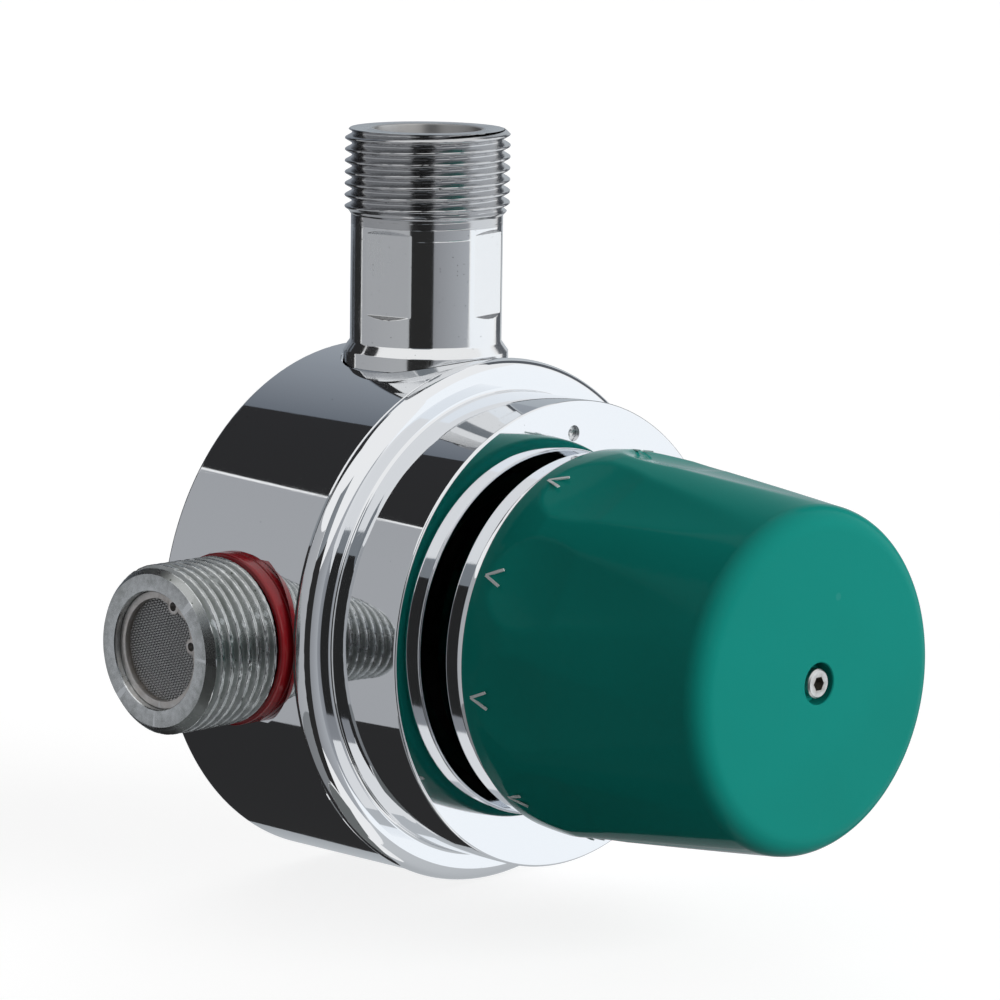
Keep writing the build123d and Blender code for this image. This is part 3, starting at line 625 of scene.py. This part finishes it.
def makeTurnedLines():
    # tool marks round the Z axis of Place: rings on a face, lines along a side
    group, given, gives = newGroup("turnedLines", {"Scale": 4000.0, "Wander": 0.3}, ["Height"])
    radius, height = fromAxis(group, given["Place"])
    reach = mathNode(group, "MULTIPLY", given["Wander"], 0.001)
    wobble = mathNode(group, "MULTIPLY", noise(group, given["Place"], 120.0, 1.0), reach)
    wandered = mathNode(group, "ADD", radius, wobble)
    line = addNode(group, "ShaderNodeCombineXYZ", {0: wandered, 1: 0.0, 2: height}).outputs[0]
    group.links.new(noise(group, line, given["Scale"], 2.0, 0.7), gives["Height"])
    return group


def makePipeZones():
    # what lies inside the bore, on flats cut below the tube's round, and above the thread's start
    group, given, gives = newGroup("pipeZones", {"Bore": 0.009, "Tube": 0.0121, "Thread": 0.062},
                                   ["Inside", "Flat", "Thread"])
    radius, height = fromAxis(group, given["Place"])
    inBore = mathNode(group, "SUBTRACT", given["Bore"], radius)
    inside = mathNode(group, "MULTIPLY", inBore, 2500.0, clamp=True)
    outside = mathNode(group, "SUBTRACT", 1.0, inside)
    underTube = mathNode(group, "SUBTRACT", given["Tube"], radius)
    below = mathNode(group, "MULTIPLY", underTube, 12000.0, clamp=True)
    lower = mathNode(group, "LESS_THAN", height, given["Thread"])
    flat = mathNode(group, "MULTIPLY", mathNode(group, "MULTIPLY", below, outside), lower)
    threaded = mathNode(group, "MULTIPLY", outside, mathNode(group, "SUBTRACT", 1.0, lower))
    for value, label in ((inside, "Inside"), (flat, "Flat"), (threaded, "Thread")):
        group.links.new(value, gives[label])
    return group


def makeHandling():
    # broad smears left by hands and by drying water
    group, given, gives = newGroup("handling", {"Scale": 45.0}, ["Mask"])
    smear = noise(group, given["Place"], given["Scale"], 5.0, 0.62, 1.4)
    group.links.new(mapRange(group, smear, 0.42, 0.75), gives["Mask"])
    return group


groups = {"scratches": makeFineScratches(), "wear": makeEdgeWear(), "grain": makeMouldedGrain(),
          "specks": makeSpecks(), "lines": makeTurnedLines(), "handling": makeHandling(),
          "pipeZones": makePipeZones()}
print("node groups")


def useGroup(tree, name, place, **sockets):
    return addNode(tree, "ShaderNodeGroup", dict(sockets, Place=place), node_tree=groups[name]).outputs


# Materials

def newMaterial(name, metal=0.0, **shaderValues):
    material = bpy.data.materials.new(name)
    material.use_nodes = True
    tree = material.node_tree
    shader = tree.nodes["Principled BSDF"]
    shader.inputs["Metallic"].default_value = metal
    for key, value in shaderValues.items():
        shader.inputs[key.replace("_", " ")].default_value = value
    place = addNode(tree, "ShaderNodeTexCoord").outputs["Object"]
    return material, tree, shader, place


def alongPort(tree, place, axis):
    # the port's own axis becomes Z
    turns = {"up": (0, 0, 0), "hot": (0, math.radians(90), 0), "cold": (0, math.radians(-90), 0),
             "front": (math.radians(-90), 0, 0)}
    moved = place if axis == "front" else vectorMath(tree, "SUBTRACT", place, (0, portY * mm, 0))
    return addNode(tree, "ShaderNodeMapping", {"Vector": moved, "Rotation": turns[axis]}).outputs[0]


def feed(tree, shader, socket, value):
    tree.links.new(value, shader.inputs[socket])


def bumpInto(tree, shader, height, distance):
    bump = addNode(tree, "ShaderNodeBump", {"Height": height, "Distance": distance, "Strength": 1.0})
    feed(tree, shader, "Normal", bump.outputs[0])


def chromeFinish(name, finish):
    material, tree, shader, place = newMaterial(name, 1.0)
    smear = useGroup(tree, "handling", place, Scale=finish["smearScale"])["Mask"]
    scratch = useGroup(tree, "scratches", place, Scale=finish["scratchScale"],
                       Amount=finish["scratches"])["Mask"]
    pits = useGroup(tree, "specks", place, Scale=finish["pitScale"], Share=finish["pits"])["Mask"]
    color = mixColor(tree, pits, finish["color"], finish["pitColor"])
    rough = mathNode(tree, "MULTIPLY_ADD", smear, finish["smearRough"], finish["rough"])
    rough = mathNode(tree, "MULTIPLY_ADD", scratch, finish["scratchRough"], rough)
    ripple = mathNode(tree, "MULTIPLY", noise(tree, place, 110.0, 1.0), finish["ripple"])
    height = mathNode(tree, "MULTIPLY_ADD", scratch, -0.25, ripple)
    if finish["axis"]:
        turned = alongPort(tree, place, finish["axis"])
        lines = useGroup(tree, "lines", turned, Scale=2600.0, Wander=0.2)["Height"]
        height = mathNode(tree, "MULTIPLY_ADD", lines, finish["lines"], height)
    if finish["bore"]:  # duller metal in the bore, on the flats and on the thread
        zones = useGroup(tree, "pipeZones", turned, Bore=finish["bore"], Tube=finish["tube"])
        for zone, extra in finish["zoneRough"].items():
            rough = mathNode(tree, "MULTIPLY_ADD", zones[zone], extra, rough)
        inside = mathNode(tree, "MULTIPLY", zones["Inside"], mathNode(tree, "MULTIPLY_ADD", smear, 0.3, 0.7))
        color = mixColor(tree, zones["Thread"], color, finish["threadColor"])
        color = mixColor(tree, inside, color, finish["boreColor"])
    feed(tree, shader, "Base Color", color)
    feed(tree, shader, "Roughness", rough)
    bumpInto(tree, shader, height, 0.000004)
    return material


bodyChrome = {"color": (0.80, 0.815, 0.835), "pitColor": (0.30, 0.31, 0.32), "rough": 0.028,
              "smearRough": 0.03, "smearScale": 38.0, "scratches": 0.25, "scratchScale": 700.0,
              "scratchRough": 0.10, "pits": 0.004, "pitScale": 2600.0, "ripple": 0.35,
              "axis": None, "bore": None}
tubeChrome = dict(bodyChrome, color=(0.78, 0.79, 0.80), rough=0.075, smearRough=0.08, scratches=0.7,
                  scratchScale=1100.0, pits=0.05, pitScale=2800.0, axis="up", lines=0.6,
                  bore=0.0092, tube=0.01206, zoneRough={"Inside": 0.28, "Flat": 0.16, "Thread": 0.07},
                  threadColor=(0.54, 0.545, 0.555), boreColor=(0.36, 0.345, 0.33))
chrome = chromeFinish("polishedChrome", bodyChrome)
pipeChrome = chromeFinish("pipeChrome", tubeChrome)
trimChrome = chromeFinish("trimChrome", dict(bodyChrome, rough=0.03, axis="front", lines=0.15))


def nickelFinish(name, axis, finish):
    material, tree, shader, place = newMaterial(name, 1.0)
    wear = useGroup(tree, "wear", place, Reach=finish["wearReach"], Breakup=900.0)
    specks = useGroup(tree, "specks", place, Scale=finish["speckScale"], Share=finish["speckShare"])["Mask"]
    patches = mapRange(tree, noise(tree, place, 160.0, 3.0), 0.47, 0.62)
    specks = mathNode(tree, "MULTIPLY", specks, patches)
    stain = useGroup(tree, "handling", place, Scale=150.0)["Mask"]
    lines = useGroup(tree, "lines", alongPort(tree, place, axis), Scale=2400.0, Wander=0.6)["Height"]
    color = mixColor(tree, stain, finish["color"], finish["stain"])
    # painted shade: the nickel is darkened in its hollows, such as the thread roots, towards a near-black
    # colour
    color = mixColor(tree, mathNode(tree, "MULTIPLY", wear["Hollow"], 0.75), color, finish["hollowDark"])
    color = mixColor(tree, wear["Mask"], color, finish["bright"])
    color = mixColor(tree, mathNode(tree, "MULTIPLY", specks, 0.85), color, finish["speck"])
    feed(tree, shader, "Base Color", color)
    bare = mathNode(tree, "SUBTRACT", 1.0, mathNode(tree, "MULTIPLY", specks, 0.8))
    feed(tree, shader, "Metallic", bare)
    rough = mathNode(tree, "MULTIPLY_ADD", stain, 0.10, finish["rough"])
    feed(tree, shader, "Roughness", mathNode(tree, "MULTIPLY_ADD", wear["Mask"], -0.12, rough))
    grain = mathNode(tree, "MULTIPLY_ADD", specks, -1.5, noise(tree, place, 1500.0, 3.0, 0.6))
    bumpInto(tree, shader, mathNode(tree, "MULTIPLY_ADD", lines, 1.2, grain), 0.000012)
    return material


# hollowDark is the near-black colour of the painted shade in the hollows
nickelLook = {"color": (0.44, 0.455, 0.45), "stain": (0.33, 0.35, 0.34), "hollowDark": (0.08, 0.095, 0.085),
              "bright": (0.76, 0.78, 0.79), "speck": (0.035, 0.06, 0.03), "speckScale": 1500.0,
              "speckShare": 0.30, "wearReach": 0.07, "rough": 0.27}
nickel = {side: nickelFinish(side + "Nickel", side, nickelLook) for side in ("hot", "cold")}


def plasticFinish(name, plastic):
    material, tree, shader, place = newMaterial(name, 0.0, IOR=plastic["ior"],
                                                Specular_IOR_Level=plastic["shine"])
    grain = useGroup(tree, "grain", place, Scale=plastic["grainScale"], Flow=plastic["flow"])
    dust = useGroup(tree, "specks", place, Scale=260.0, Share=plastic["dust"])["Mask"]
    scratch = useGroup(tree, "scratches", place, Scale=600.0, Amount=plastic["scratches"])["Mask"]
    smear = useGroup(tree, "handling", place, Scale=30.0)["Mask"]
    color = mixColor(tree, grain["Cloud"], plastic["color"], plastic["cloud"])
    color = mixColor(tree, mathNode(tree, "MULTIPLY", dust, 0.35), color, plastic["dustColor"])
    color = mixColor(tree, mathNode(tree, "MULTIPLY", scratch, 0.3), color, plastic["dustColor"])
    feed(tree, shader, "Base Color", color)
    rough = mathNode(tree, "MULTIPLY_ADD", smear, 0.07, plastic["rough"])
    feed(tree, shader, "Roughness", mathNode(tree, "MULTIPLY_ADD", scratch, 0.2, rough))
    bumpInto(tree, shader, grain["Height"], plastic["bump"])
    return material


ringPlastic = {"ior": 1.47, "shine": 0.5, "rough": 0.16, "grainScale": 2600.0, "flow": 60.0, "dust": 0.05,
               "scratches": 0.4, "bump": 0.00003}
hiddenPlastic = dict(ringPlastic, grainScale=1800.0, flow=80.0, dust=0.04, scratches=0.2, bump=0.00004)
plastics = {
    "greenPlastic": dict(ringPlastic, color=(0.008, 0.262, 0.217), cloud=(0.008, 0.278, 0.232),
                         dustColor=(0.05, 0.32, 0.28), ior=1.09, rough=0.035, flow=32.0, dust=0.012,
                         scratches=0.12, bump=0.00002),
    "redPlastic": dict(ringPlastic, color=(0.34, 0.008, 0.014), cloud=(0.29, 0.007, 0.012),
                       dustColor=(0.45, 0.25, 0.22)),
    "bluePlastic": dict(ringPlastic, color=(0.008, 0.05, 0.30), cloud=(0.006, 0.04, 0.26),
                        dustColor=(0.25, 0.30, 0.45)),
    # the check poppet's plastic, dark grey: partly its own colour and partly painted shade, so that behind
    # the strainer mesh it reads as dark as the shade in the bore
    "innerPlastic": dict(hiddenPlastic, color=(0.10, 0.10, 0.095), cloud=(0.085, 0.085, 0.08),
                         dustColor=(0.3, 0.3, 0.28), rough=0.42),
    "seatPlastic": dict(hiddenPlastic, color=(0.72, 0.71, 0.67), cloud=(0.68, 0.67, 0.62),
                        dustColor=(0.45, 0.43, 0.38), rough=0.38),
    "sealRubber": dict(ringPlastic, color=(0.014, 0.014, 0.015), cloud=(0.020, 0.020, 0.021),
                       dustColor=(0.12, 0.12, 0.11), shine=0.4, rough=0.55, grainScale=3000.0, flow=120.0,
                       dust=0.10, scratches=0.1, bump=0.00006),
    "markPaint": dict(ringPlastic, color=(0.93, 0.96, 0.96), cloud=(0.86, 0.90, 0.90),
                      dustColor=(0.5, 0.55, 0.52), shine=0.4, rough=0.35, grainScale=5000.0, flow=300.0,
                      scratches=0.3, bump=0.00002),
}
plastic = {name: plasticFinish(name, look) for name, look in plastics.items()}


def machinedMetal(name, metal):
    material, tree, shader, place = newMaterial(name, 1.0)
    turned = alongPort(tree, place, metal["axis"])
    lines = useGroup(tree, "lines", turned, Scale=metal["lineScale"], Wander=0.3)["Height"]
    wear = useGroup(tree, "wear", place, Reach=0.08, Breakup=700.0)
    stain = useGroup(tree, "handling", place, Scale=metal["stainScale"])["Mask"]
    color = mixColor(tree, stain, metal["color"], metal["stain"])
    # darker in the hollows, by the hollow mask, towards hollowDarkColor
    hollowDark = mathNode(tree, "MULTIPLY", wear["Hollow"], metal["hollowDark"])
    color = mixColor(tree, hollowDark, color, metal["hollowDarkColor"])
    color = mixColor(tree, mathNode(tree, "MULTIPLY", wear["Mask"], 0.6), color, metal["bright"])
    feed(tree, shader, "Base Color", color)
    feed(tree, shader, "Roughness", mathNode(tree, "MULTIPLY_ADD", stain, 0.14, metal["rough"]))
    height = mathNode(tree, "MULTIPLY_ADD", lines, 1.0, noise(tree, place, 2200.0, 2.0))
    bumpInto(tree, shader, height, metal["bump"])
    return material


# hollowDark is how far the hollows are darkened, towards hollowDarkColor
steelLook = {"axis": "front", "lineScale": 3600.0, "stainScale": 260.0, "color": (0.64, 0.65, 0.66),
             "stain": (0.50, 0.50, 0.50), "hollowDark": 0.6, "hollowDarkColor": (0.10, 0.10, 0.09),
             "bright": (0.85, 0.86, 0.87), "rough": 0.18, "bump": 0.000008}
metals = {
    "machinedSteel": steelLook,
    "springSteel": dict(steelLook, color=(0.52, 0.53, 0.55), stain=(0.40, 0.39, 0.37), rough=0.24),
    "strainerRim": dict(steelLook, color=(0.52, 0.475, 0.435), stain=(0.40, 0.36, 0.33), rough=0.36,
                        axis="hot"),
    "strainerMetal": dict(steelLook, color=(0.19, 0.165, 0.145), stain=(0.14, 0.12, 0.105), rough=0.40,
                          axis="hot"),
    "screwSteel": dict(steelLook, color=(0.36, 0.33, 0.29), stain=(0.22, 0.20, 0.18), rough=0.34),
    "pinSteel": dict(steelLook, color=(0.90, 0.90, 0.90), stain=(0.74, 0.74, 0.74), rough=0.30),
    "machinedBrass": dict(steelLook, color=(0.72, 0.54, 0.27), stain=(0.52, 0.36, 0.17),
                          hollowDarkColor=(0.16, 0.10, 0.04), bright=(0.90, 0.74, 0.42), rough=0.22),
    "drawnCopper": dict(steelLook, color=(0.74, 0.42, 0.28), stain=(0.46, 0.24, 0.15),
                        hollowDarkColor=(0.14, 0.07, 0.04), bright=(0.93, 0.60, 0.44), rough=0.20),
}
metal = {name: machinedMetal(name, look) for name, look in metals.items()}

# The finish of each of the part's own slots
finishOf = {"chrome_body": chrome, "chrome_bonnet": chrome, "chrome_trim": trimChrome,
            "chrome_pipe": pipeChrome, "nickel_pipe": nickel["cold"], "steel": metal["machinedSteel"],
            "spring_steel": metal["springSteel"], "strainer_metal": metal["strainerMetal"],
            "brass": metal["machinedBrass"], "copper": metal["drawnCopper"],
            "rubber": plastic["sealRubber"], "seat_plastic": plastic["seatPlastic"],
            "check_plastic": plastic["innerPlastic"], "green_plastic": plastic["greenPlastic"],
            "red_plastic": plastic["redPlastic"], "blue_plastic": plastic["bluePlastic"]}
slotOf = {row["node"]: row["material_slot"] for row in frame["record"]["subparts"]}


def dress(piece, material):
    piece.data.materials.clear()
    piece.data.materials.append(material)


for name, node in nodes.items():
    dress(node, finishOf[slotOf[name]])
for piece, finish in ((nodes["knob_screw"], metal["screwSteel"]), (nodes["index_pin"], metal["pinSteel"]),
                      (outlet, pipeChrome), (bonnet, chrome), (trim, trimChrome),
                      (knob, plastic["greenPlastic"]), (marks, plastic["markPaint"])):
    dress(piece, finish)
for side, ringColor in (("hot", "redPlastic"), ("cold", "bluePlastic")):
    dress(bpy.data.objects[side + "Marker"], plastic[ringColor])
    dress(bpy.data.objects[side + "InletPipe"], nickel[side])
    dress(bpy.data.objects[side + "StrainerRim"], metal["strainerRim"])
    dress(bpy.data.objects[side + "StrainerMesh"], metal["strainerMetal"])
print("materials")


# Camera

view = {"place": (-574.10, -601.68, 149.63), "aim": (-7.65, -40.0, 21.04), "roll": 0.79,
        "lens": 186.4, "shift": (0.0058, 0.0003)}
camera = bpy.data.objects.new("camera", bpy.data.cameras.new("camera"))
bpy.context.scene.collection.objects.link(camera)
camera.location = Vector(view["place"]) * mm
toward = (Vector(view["aim"]) - Vector(view["place"])).normalized()
roll = Matrix.Rotation(math.radians(view["roll"]), 3, "Z")
camera.rotation_euler = (toward.to_track_quat("-Z", "Y").to_matrix() @ roll).to_euler()
camera.data.lens = view["lens"]
camera.data.sensor_width = 36
camera.data.shift_x, camera.data.shift_y = view["shift"]
camera.data.clip_start, camera.data.clip_end = 0.05, 50
bpy.context.scene.camera = camera


# Studio

studio = {
    "centre": (0, -40, 15), "distance": 1500, "worldLight": 0.22,
    "keyToward": (0.36, -0.90, 0.26), "keyLevel": 0.86, "keySoftness": 50,
    "backToward": (0.75, 0.60, 0.30), "backLevel": 0.45, "backSoftness": 60,
    "floorHeight": -42.4, "floorHalf": 4000, "floorColor": 0.36, "cardSteps": 12,
}
# Cards that only reflections see: azimuth is clockwise from +Y, in degrees, then elevation and tone
cards = {
    "leftWall": ((-110, -21, -33, 34), (0.46, 0.47, 0.485), (0.40, 0.41, 0.43)),
    "leftGround": ((-110, -36, -62, -33), (0.24, 0.25, 0.26), (0.22, 0.23, 0.24)),
    "lowGround": ((-160, 36, -88, -62), (0.16, 0.17, 0.17), (0.16, 0.17, 0.17)),
    "backPanel": ((-19, 16, -33, 36), (0.028, 0.028, 0.029), (0.028, 0.028, 0.029)),
    "upperPanel": ((-42, 3, 34.5, 62), (0.028, 0.028, 0.029), (0.030, 0.030, 0.032)),
    "darkTable": ((-36, 36, -62, -33), (0.028, 0.028, 0.029), (0.028, 0.028, 0.029)),
    "rightHaze": ((3, 42, -10, 56), (0.16, 0.18, 0.21), (0.34, 0.37, 0.41)),
    "rightGlow": ((16, 62, -33, -9), (0.24, 0.26, 0.28), (0.66, 0.69, 0.72)),
    "rightFloor": ((36, 160, -75, -34), (0.46, 0.48, 0.50), (0.60, 0.62, 0.64)),
    "rightWall": ((42, 67, -9, 45), (0.42, 0.46, 0.50), (0.62, 0.65, 0.68)),
    "darkStripe": ((67, 89, -40, 50), (0.11, 0.12, 0.135), (0.11, 0.12, 0.135)),
    "softBox": ((96, 154, -34, 40), (1.08, 1.11, 1.14), (1.06, 1.10, 1.14)),
    "frontWall": ((156, 214, -40, 12), (0.45, 0.47, 0.50), (0.30, 0.31, 0.33)),
    "frontPanel": ((214, 252, -60, 22), (0.027, 0.027, 0.027), (0.027, 0.027, 0.027)),
    "frontPanelTop": ((216, 248, 22, 48), (0.26, 0.28, 0.30), (0.22, 0.24, 0.26)),
}


def cardMaterial(name, near, far):
    material = bpy.data.materials.new(name)
    material.use_nodes = True
    tree = material.node_tree
    tree.nodes.remove(tree.nodes["Principled BSDF"])
    across = addNode(tree, "ShaderNodeAttribute", attribute_name="across").outputs["Fac"]
    glow = addNode(tree, "ShaderNodeEmission", {"Color": mixColor(tree, across, near, far), "Strength": 1.0})
    tree.links.new(glow.outputs[0], tree.nodes["Material Output"].inputs["Surface"])
    return material


def makeCard(name, reach, near, far):
    steps = studio["cardSteps"]
    row = steps + 1
    azimuths = np.radians(np.linspace(reach[0], reach[1], row))
    heights = np.radians(np.linspace(reach[2], reach[3], row))
    points = [(math.sin(a) * math.cos(h), math.cos(a) * math.cos(h), math.sin(h))
              for h in heights for a in azimuths]
    points = np.array(points) * studio["distance"] + np.array(studio["centre"])
    faces = [(j * row + i, j * row + i + 1, (j + 1) * row + i + 1, (j + 1) * row + i)
             for j in range(steps) for i in range(steps)]
    card = meshFrom(name, points, faces)
    across = card.data.attributes.new("across", "FLOAT", "POINT")
    across.data.foreach_set("value", np.tile(np.linspace(0, 1, row), row))
    card.visible_camera = card.visible_diffuse = card.visible_shadow = card.visible_transmission = False
    dress(card, cardMaterial(name, near, far))


for name, (reach, near, far) in cards.items():
    makeCard(name, reach, near, far)


def makeLamp(name):
    lamp = bpy.data.objects.new(name + "Lamp", bpy.data.lights.new(name + "Lamp", "SUN"))
    lamp.data.energy = studio[name + "Level"] * math.pi
    lamp.data.angle = math.radians(studio[name + "Softness"])
    lamp.rotation_euler = Vector(studio[name + "Toward"]).to_track_quat("Z", "Y").to_euler()
    lamp.visible_glossy = False
    bpy.context.scene.collection.objects.link(lamp)


makeLamp("key")
makeLamp("back")

world = bpy.data.worlds.new("studio")
bpy.context.scene.world = world
world.use_nodes = True
worldTree = world.node_tree
rays = addNode(worldTree, "ShaderNodeLightPath").outputs
seen = mathNode(worldTree, "MAXIMUM", rays["Is Camera Ray"], rays["Is Glossy Ray"])
seen = mathNode(worldTree, "MAXIMUM", seen, rays["Is Transmission Ray"])
strength = mathNode(worldTree, "MULTIPLY_ADD", seen, 1 - studio["worldLight"], studio["worldLight"])
worldTree.nodes["Background"].inputs["Color"].default_value = (1, 1, 1, 1)
worldTree.links.new(strength, worldTree.nodes["Background"].inputs["Strength"])


def makeFloor():
    # for the camera the lit floor is just white, and a shadow takes light from it
    half, z = studio["floorHalf"], studio["floorHeight"]
    corners = [(-half, -half, z), (half, -half, z), (half, half, z), (-half, half, z)]
    floor = meshFrom("floor", corners, [(0, 1, 2, 3)])
    floor.visible_glossy = False
    material = bpy.data.materials.new("paleFloor")
    material.use_nodes = True
    tree = material.node_tree
    tree.nodes.remove(tree.nodes["Principled BSDF"])
    tone = studio["floorColor"]
    lit = studio["worldLight"]
    for lamp in ("key", "back"):
        lit += studio[lamp + "Level"] * Vector(studio[lamp + "Toward"]).normalized().z
    paper = addNode(tree, "ShaderNodeBsdfDiffuse", {"Color": (tone, tone, tone, 1)})
    isCamera = addNode(tree, "ShaderNodeLightPath").outputs["Is Camera Ray"]
    extra = mathNode(tree, "MULTIPLY", isCamera, 1.01 - tone * lit)
    lift = addNode(tree, "ShaderNodeEmission", {"Color": (1, 1, 1, 1), "Strength": extra})
    total = addNode(tree, "ShaderNodeAddShader", {0: paper.outputs[0], 1: lift.outputs[0]})
    tree.links.new(total.outputs[0], tree.nodes["Material Output"].inputs["Surface"])
    dress(floor, material)


makeFloor()
bpy.context.scene.view_settings.view_transform = "Standard"
print("studio")
